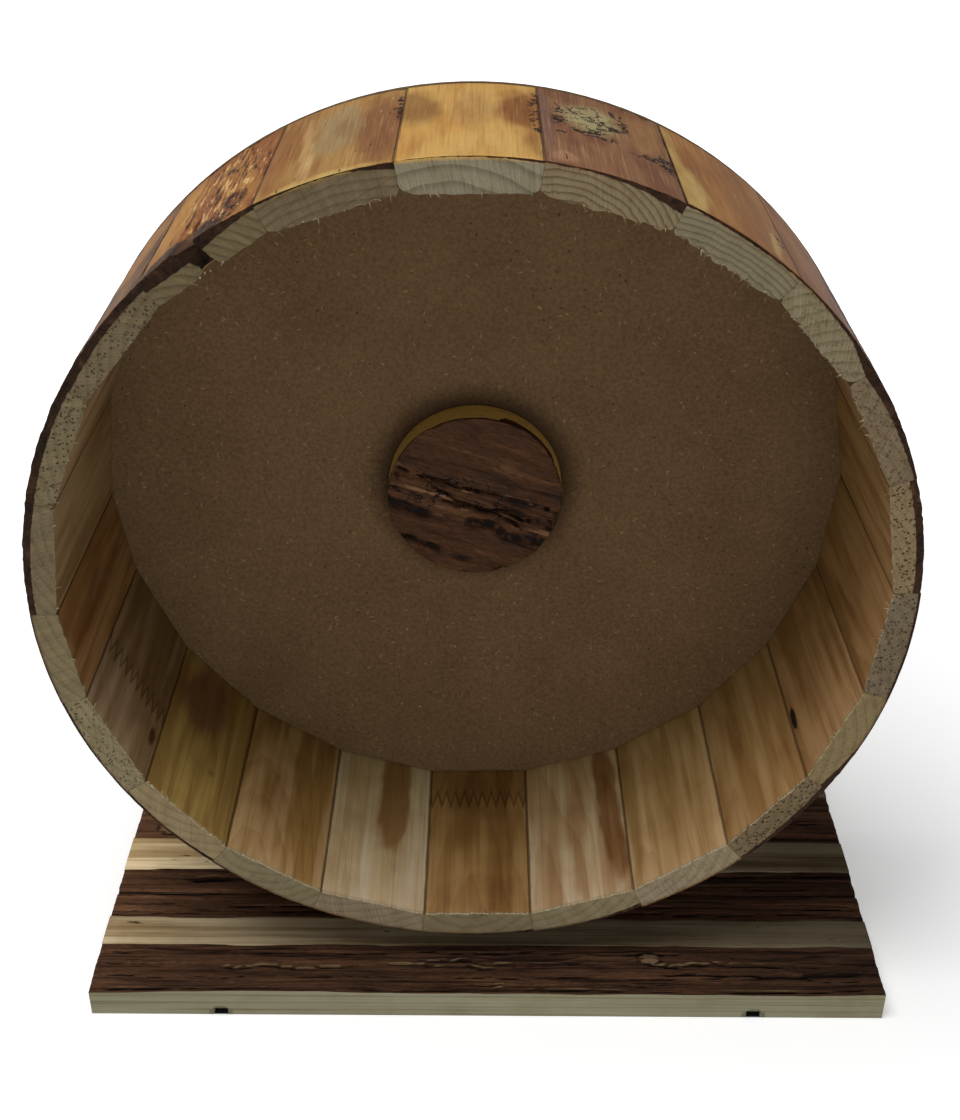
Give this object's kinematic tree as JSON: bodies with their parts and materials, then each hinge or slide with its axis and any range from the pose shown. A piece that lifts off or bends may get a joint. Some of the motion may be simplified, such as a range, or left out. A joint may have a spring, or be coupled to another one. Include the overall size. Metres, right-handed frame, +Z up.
{
  "type": "rodent exercise wheel",
  "caption": "Rustic wooden exercise wheel for small rodents, a hoop of barked staves on a back disc that turns on ball bearings above a slab base.",
  "frame": {"origin": "under the middle of the whole object, on the surface that it stands on", "axes": "+X right and +Z up as seen from the wheel's open front, +Y to the back; the axle runs along Y"},
  "size_m": [0.2878, 0.156, 0.302],
  "materials": {
    "stave_wood": "sawn and sanded, raw",
    "bark_wood": "bark left on, crown planed",
    "plain_wood": "planed, raw",
    "fibre_board": "raw fibre board",
    "steel": "ground",
    "zinc_steel": "zinc plated"
  },
  "bodies": {
    "stand": {"base_slab_front": "bark_wood", "base_slab_middle": "bark_wood", "base_slab_rear": "bark_wood", "base_spline_left": "plain_wood", "base_spline_right": "plain_wood", "upright": "plain_wood", "upright_screws": "zinc_steel", "front_bearing_outer_ring": "steel", "rear_bearing_outer_ring": "steel", "front_bearing_shields": "steel", "rear_bearing_shields": "steel"},
    "wheel": {"stave_01": "stave_wood", "stave_02": "stave_wood", "stave_03": "stave_wood", "stave_04": "stave_wood", "stave_05": "stave_wood", "stave_06": "stave_wood", "stave_07": "stave_wood", "stave_08": "stave_wood", "stave_09": "stave_wood", "stave_10": "stave_wood", "stave_11": "stave_wood", "stave_12": "stave_wood", "stave_13": "stave_wood", "stave_14": "stave_wood", "stave_15": "stave_wood", "stave_16": "stave_wood", "stave_17": "stave_wood", "stave_18": "stave_wood", "stave_19": "stave_wood", "stave_20": "stave_wood", "stave_21": "stave_wood", "stave_22": "stave_wood", "back_disc": "fibre_board", "hub_cap": "bark_wood", "axle_bolt": "zinc_steel", "disc_washers": "zinc_steel", "clamp_nut": "zinc_steel", "lock_nut": "zinc_steel", "front_spacer": "steel", "middle_spacer": "steel", "rear_spacer": "steel", "front_bearing_inner_ring": "steel", "rear_bearing_inner_ring": "steel"},
    "front_ball_set": {"front_bearing_balls": "steel", "front_bearing_cage": "steel"},
    "rear_ball_set": {"rear_bearing_balls": "steel", "rear_bearing_cage": "steel"}
  },
  "joints": [
    {"name": "wheel_spin", "type": "hinge", "parent": "stand", "child": "wheel", "pos_m": [-0.0039, 0.024, 0.162], "axis": [0, 1, 0], "continuous": true},
    {"name": "front_ball_orbit", "type": "hinge", "parent": "stand", "child": "front_ball_set", "pos_m": [-0.0039, 0.04, 0.162], "axis": [0, 1, 0], "continuous": true},
    {"name": "rear_ball_orbit", "type": "hinge", "parent": "stand", "child": "rear_ball_set", "pos_m": [-0.0039, 0.049, 0.162], "axis": [0, 1, 0], "continuous": true}
  ],
  "couplings": [
    {"joint": "front_ball_orbit", "follows": "wheel_spin", "ratio": 0.368},
    {"joint": "rear_ball_orbit", "follows": "wheel_spin", "ratio": 0.368}
  ]
}
